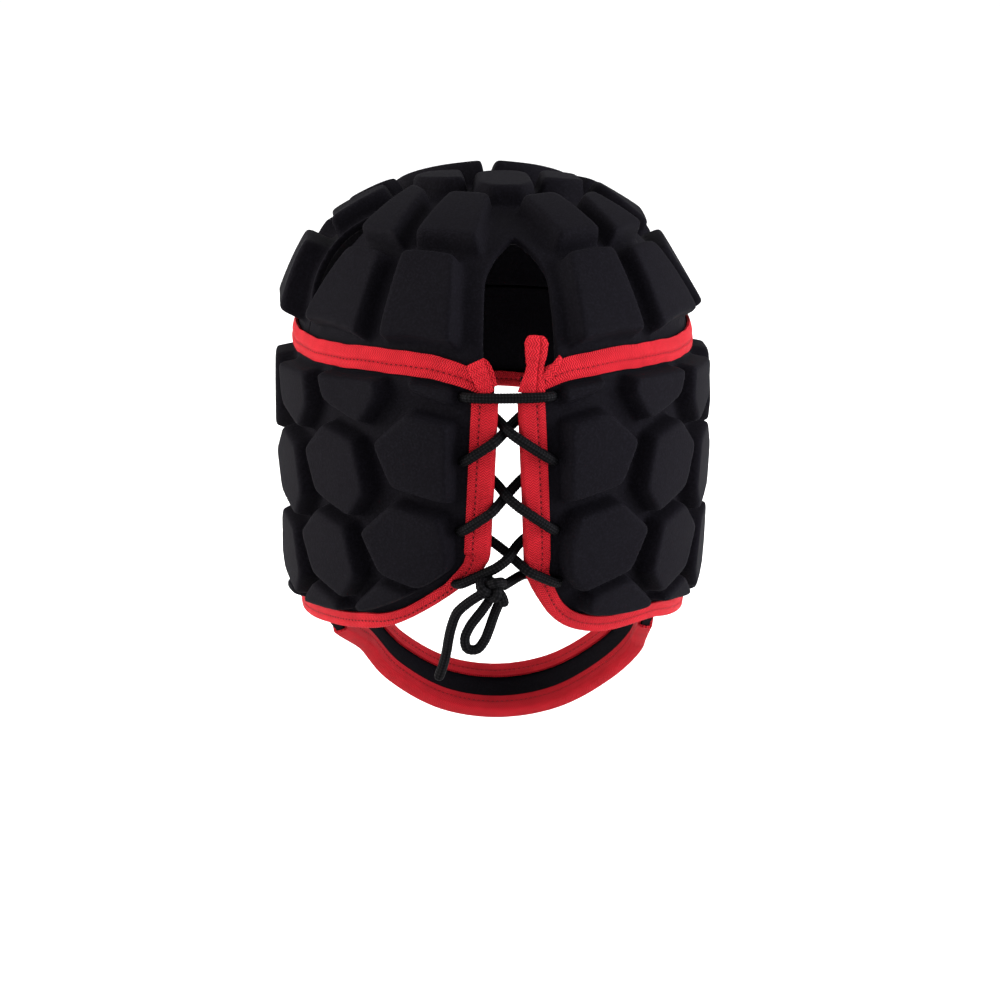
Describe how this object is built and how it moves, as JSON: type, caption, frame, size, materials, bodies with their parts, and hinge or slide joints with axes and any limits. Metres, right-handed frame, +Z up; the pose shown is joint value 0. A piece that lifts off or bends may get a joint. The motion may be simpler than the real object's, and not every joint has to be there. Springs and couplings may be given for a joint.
{
  "type": "padded sports head guard",
  "caption": "Soft padded head guard for contact sport: black foam pads on cloth, red bound edges, a crossed lace closing the back, ear openings and a chin strap.",
  "frame": {"origin": "the inside of the crown at its top, where the cap sits on a head", "axes": "+Z up, -Y towards the face opening, +X towards the wearer's left"},
  "size_m": [0.1804, 0.2199, 0.2582],
  "materials": {
    "pad_cloth": "matte knit cloth bonded over moulded foam",
    "strap_cloth": "matte padded cloth",
    "red_tape": "ribbed woven tape with stitch lines",
    "black_lace": "braided cord"
  },
  "bodies": {
    "root": {"crown_panel": "pad_cloth", "crown_side_left": "pad_cloth", "crown_side_right": "pad_cloth", "side_panel_left": "pad_cloth", "side_panel_right": "pad_cloth", "crown_tape": "red_tape", "crown_tape_end_left": "red_tape", "crown_tape_end_right": "red_tape", "nape_binding_left": "red_tape", "nape_binding_right": "red_tape", "face_binding_left": "red_tape", "face_binding_right": "red_tape", "ear_binding_left": "red_tape", "ear_binding_right": "red_tape", "chin_strap": "strap_cloth", "strap_binding_rear": "red_tape", "strap_binding_front": "red_tape", "lace": "black_lace", "lace_knot": "black_lace", "lace_loop": "black_lace", "lace_tail": "black_lace"}
  },
  "joints": []
}
